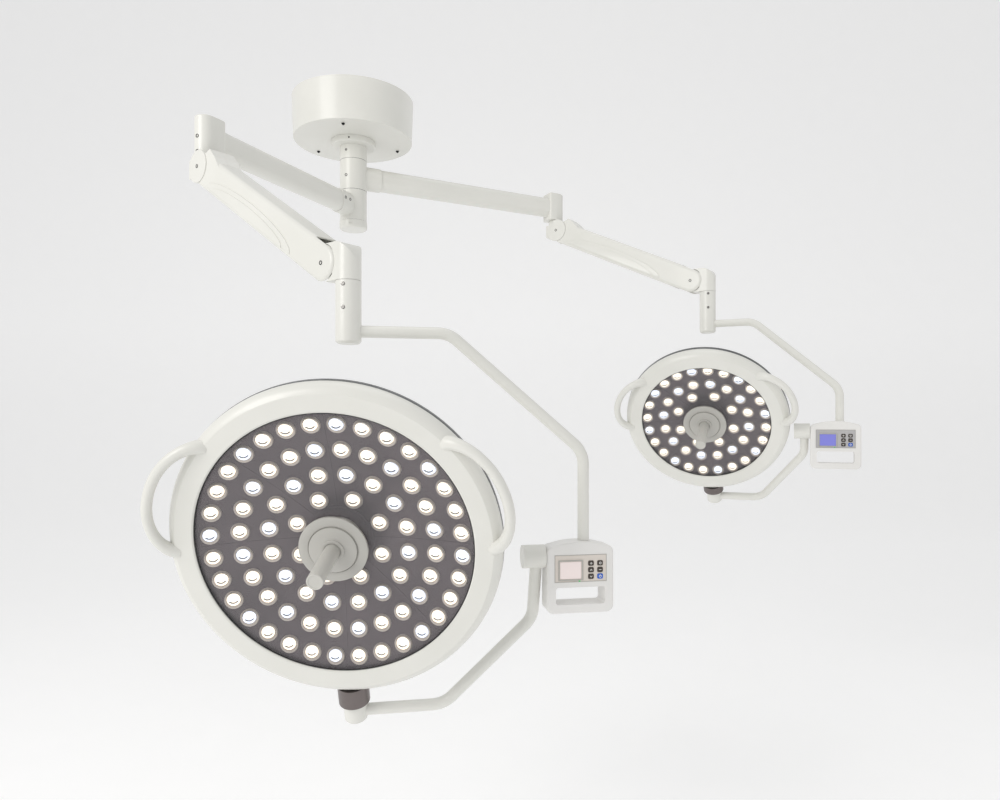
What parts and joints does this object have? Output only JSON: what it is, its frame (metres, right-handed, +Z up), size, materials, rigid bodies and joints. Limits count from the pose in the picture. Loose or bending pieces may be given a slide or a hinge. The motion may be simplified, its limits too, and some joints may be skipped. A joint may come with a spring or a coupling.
{
  "type": "surgical light",
  "caption": "Ceiling-mounted surgical light with a large and a small round LED head on jointed spring arms and yokes.",
  "frame": {"origin": "centre of the bolting plate's upper face, on the column axis at the ceiling", "axes": "+Z up along the column, -Y towards the user who faces the lamps, +X to that user's right"},
  "size_m": [2.0155, 1.6101, 1.8003],
  "materials": {
    "white_paint": "satin powder coat",
    "bearing_bronze": "machined",
    "dark_screw": "blackened",
    "steel": "ground",
    "face_film": "matt film",
    "display_large": "gloss",
    "display_small": "gloss",
    "key_dark": "matt",
    "key_blue": "matt",
    "collar_metal": "dark metallic",
    "clear_window": "clear",
    "reflector": "dark satin",
    "lens": "clear moulded",
    "boss": "satin",
    "handle_plastic": "satin"
  },
  "bodies": {
    "mount": {"ceiling_column": "white_paint", "canopy_cover": "white_paint", "canopy_collar": "white_paint", "hub_bushes": "bearing_bronze", "end_cap": "white_paint", "mount_screws": "dark_screw"},
    "large_arm": {"large_hub": "white_paint", "large_extension_arm": "white_paint", "large_elbow": "white_paint"},
    "large_swing": {"large_spring_root": "white_paint"},
    "large_spring_arm": {"large_arm_cover": "white_paint"},
    "large_levelling_link": {"large_levelling_rod": "steel"},
    "large_knuckle_body": {"large_knuckle": "white_paint"},
    "large_yoke": {"large_upper_yoke": "white_paint", "large_control_box": "white_paint", "large_control_face": "face_film", "large_display": "display_large"},
    "large_lower_yoke_body": {"large_lower_yoke": "white_paint"},
    "large_lamp": {"large_pivot_collar": "collar_metal", "large_rear_shell": "white_paint", "large_bezel": "white_paint", "large_window": "clear_window", "large_reflector": "reflector", "large_lenses": "lens", "large_side_handles": "white_paint", "large_centre_boss": "boss"},
    "large_handle": {"large_sterile_handle": "handle_plastic"},
    "large_key_1_body": {"large_key_1": "key_dark"},
    "large_key_2_body": {"large_key_2": "key_dark"},
    "large_key_3_body": {"large_key_3": "key_dark"},
    "large_key_4_body": {"large_key_4": "key_dark"},
    "large_key_5_body": {"large_key_5": "key_dark"},
    "large_key_6_body": {"large_key_6": "key_blue"},
    "small_arm": {"small_hub": "white_paint", "small_extension_arm": "white_paint", "small_elbow": "white_paint"},
    "small_swing": {"small_spring_root": "white_paint"},
    "small_spring_arm": {"small_arm_cover": "white_paint"},
    "small_levelling_link": {"small_levelling_rod": "steel"},
    "small_knuckle_body": {"small_knuckle": "white_paint"},
    "small_yoke": {"small_upper_yoke": "white_paint", "small_control_box": "white_paint", "small_control_face": "face_film", "small_display": "display_small"},
    "small_lower_yoke_body": {"small_lower_yoke": "white_paint"},
    "small_lamp": {"small_pivot_collar": "collar_metal", "small_rear_shell": "white_paint", "small_bezel": "white_paint", "small_window": "clear_window", "small_reflector": "reflector", "small_lenses": "lens", "small_side_handles": "white_paint", "small_centre_boss": "boss"},
    "small_handle": {"small_sterile_handle": "handle_plastic"},
    "small_key_1_body": {"small_key_1": "key_dark"},
    "small_key_2_body": {"small_key_2": "key_dark"},
    "small_key_3_body": {"small_key_3": "key_dark"},
    "small_key_4_body": {"small_key_4": "key_dark"},
    "small_key_5_body": {"small_key_5": "key_dark"},
    "small_key_6_body": {"small_key_6": "key_blue"}
  },
  "joints": [
    {"name": "large_arm_turn", "type": "hinge", "parent": "mount", "child": "large_arm", "pos_m": [0, 0, -0.369], "axis": [0, 0, 1], "range_deg": [-90, 40]},
    {"name": "large_elbow_turn", "type": "hinge", "parent": "large_arm", "child": "large_swing", "pos_m": [-0.2666, -0.61903, -0.369], "axis": [0, 0, 1], "range_deg": [-90, 60]},
    {"name": "large_arm_lift", "type": "hinge", "parent": "large_swing", "child": "large_spring_arm", "pos_m": [-0.24962, -0.63303, -0.4565], "axis": [-0.6361, -0.7716, 0], "range_deg": [-20, 26]},
    {"name": "large_link_lift", "type": "hinge", "parent": "large_swing", "child": "large_levelling_link", "pos_m": [-0.24962, -0.63303, -0.4785], "axis": [-0.6361, -0.7716, 0], "range_deg": [-20, 26]},
    {"name": "large_knuckle_level", "type": "hinge", "parent": "large_spring_arm", "child": "large_knuckle_body", "pos_m": [0.15173, -0.96387, -0.779], "axis": [-0.6361, -0.7716, 0], "range_deg": [-26, 20]},
    {"name": "large_yoke_turn", "type": "hinge", "parent": "large_knuckle_body", "child": "large_yoke", "pos_m": [0.19185, -0.99695, -0.82], "axis": [0, 0, 1], "range_deg": [-170, 170]},
    {"name": "large_head_roll", "type": "hinge", "parent": "large_yoke", "child": "large_lower_yoke_body", "pos_m": [0.19185, -0.99695, -1.42], "axis": [0.9845, 0.1754, 0], "range_deg": [-165, 165]},
    {"name": "large_head_turn", "type": "hinge", "parent": "large_lower_yoke_body", "child": "large_lamp", "pos_m": [0.18681, -0.89453, -1.7747], "axis": [-0.0308, -0.2846, 0.9582], "range_deg": [-170, 170]},
    {"name": "large_handle_pull", "type": "slide", "parent": "large_lamp", "child": "large_handle", "axis": [-0.0399, -0.9575, -0.2856], "range_m": [0, 0.1]},
    {"name": "large_key_1_press", "type": "slide", "parent": "large_yoke", "child": "large_key_1_body", "axis": [-0.1754, 0.9845, 0], "range_m": [0, 0.001], "stiffness_N_per_m": 400},
    {"name": "large_key_2_press", "type": "slide", "parent": "large_yoke", "child": "large_key_2_body", "axis": [-0.1754, 0.9845, 0], "range_m": [0, 0.001], "stiffness_N_per_m": 400},
    {"name": "large_key_3_press", "type": "slide", "parent": "large_yoke", "child": "large_key_3_body", "axis": [-0.1754, 0.9845, 0], "range_m": [0, 0.001], "stiffness_N_per_m": 400},
    {"name": "large_key_4_press", "type": "slide", "parent": "large_yoke", "child": "large_key_4_body", "axis": [-0.1754, 0.9845, 0], "range_m": [0, 0.001], "stiffness_N_per_m": 400},
    {"name": "large_key_5_press", "type": "slide", "parent": "large_yoke", "child": "large_key_5_body", "axis": [-0.1754, 0.9845, 0], "range_m": [0, 0.001], "stiffness_N_per_m": 400},
    {"name": "large_key_6_press", "type": "slide", "parent": "large_yoke", "child": "large_key_6_body", "axis": [-0.1754, 0.9845, 0], "range_m": [0, 0.001], "stiffness_N_per_m": 400},
    {"name": "small_arm_turn", "type": "hinge", "parent": "mount", "child": "small_arm", "pos_m": [0, 0, -0.263], "axis": [0, 0, 1], "range_deg": [-40, 90]},
    {"name": "small_elbow_turn", "type": "hinge", "parent": "small_arm", "child": "small_swing", "pos_m": [0.74065, 0.38556, -0.263], "axis": [0, 0, 1], "range_deg": [-60, 90]},
    {"name": "small_arm_lift", "type": "hinge", "parent": "small_swing", "child": "small_spring_arm", "pos_m": [0.75854, 0.37275, -0.3585], "axis": [-0.5821, -0.8131, 0], "range_deg": [-25, 24]},
    {"name": "small_link_lift", "type": "hinge", "parent": "small_swing", "child": "small_levelling_link", "pos_m": [0.75854, 0.37275, -0.3805], "axis": [-0.5821, -0.8131, 0], "range_deg": [-25, 24]},
    {"name": "small_knuckle_level", "type": "hinge", "parent": "small_spring_arm", "child": "small_knuckle_body", "pos_m": [1.20806, 0.05093, -0.62101], "axis": [-0.5821, -0.8131, 0], "range_deg": [-24, 25]},
    {"name": "small_yoke_turn", "type": "hinge", "parent": "small_knuckle_body", "child": "small_yoke", "pos_m": [1.25034, 0.02066, -0.66201], "axis": [0, 0, 1], "range_deg": [-170, 170]},
    {"name": "small_head_roll", "type": "hinge", "parent": "small_yoke", "child": "small_lower_yoke_body", "pos_m": [1.25034, 0.02066, -1.15301], "axis": [0.9239, -0.3827, 0], "range_deg": [-165, 165]},
    {"name": "small_head_turn", "type": "hinge", "parent": "small_lower_yoke_body", "child": "small_lamp", "pos_m": [1.31131, 0.14694, -1.39549], "axis": [-0.2235, -0.4483, 0.8655], "range_deg": [-170, 170]},
    {"name": "small_handle_pull", "type": "slide", "parent": "small_lamp", "child": "small_handle", "axis": [-0.3314, -0.8001, -0.5], "range_m": [0, 0.1]},
    {"name": "small_key_1_press", "type": "slide", "parent": "small_yoke", "child": "small_key_1_body", "axis": [0.3827, 0.9239, 0], "range_m": [0, 0.001], "stiffness_N_per_m": 400},
    {"name": "small_key_2_press", "type": "slide", "parent": "small_yoke", "child": "small_key_2_body", "axis": [0.3827, 0.9239, 0], "range_m": [0, 0.001], "stiffness_N_per_m": 400},
    {"name": "small_key_3_press", "type": "slide", "parent": "small_yoke", "child": "small_key_3_body", "axis": [0.3827, 0.9239, 0], "range_m": [0, 0.001], "stiffness_N_per_m": 400},
    {"name": "small_key_4_press", "type": "slide", "parent": "small_yoke", "child": "small_key_4_body", "axis": [0.3827, 0.9239, 0], "range_m": [0, 0.001], "stiffness_N_per_m": 400},
    {"name": "small_key_5_press", "type": "slide", "parent": "small_yoke", "child": "small_key_5_body", "axis": [0.3827, 0.9239, 0], "range_m": [0, 0.001], "stiffness_N_per_m": 400},
    {"name": "small_key_6_press", "type": "slide", "parent": "small_yoke", "child": "small_key_6_body", "axis": [0.3827, 0.9239, 0], "range_m": [0, 0.001], "stiffness_N_per_m": 400}
  ],
  "couplings": [
    {"joint": "large_link_lift", "follows": "large_arm_lift", "ratio": 1},
    {"joint": "large_knuckle_level", "follows": "large_arm_lift", "ratio": -1},
    {"joint": "small_link_lift", "follows": "small_arm_lift", "ratio": 1},
    {"joint": "small_knuckle_level", "follows": "small_arm_lift", "ratio": -1}
  ]
}
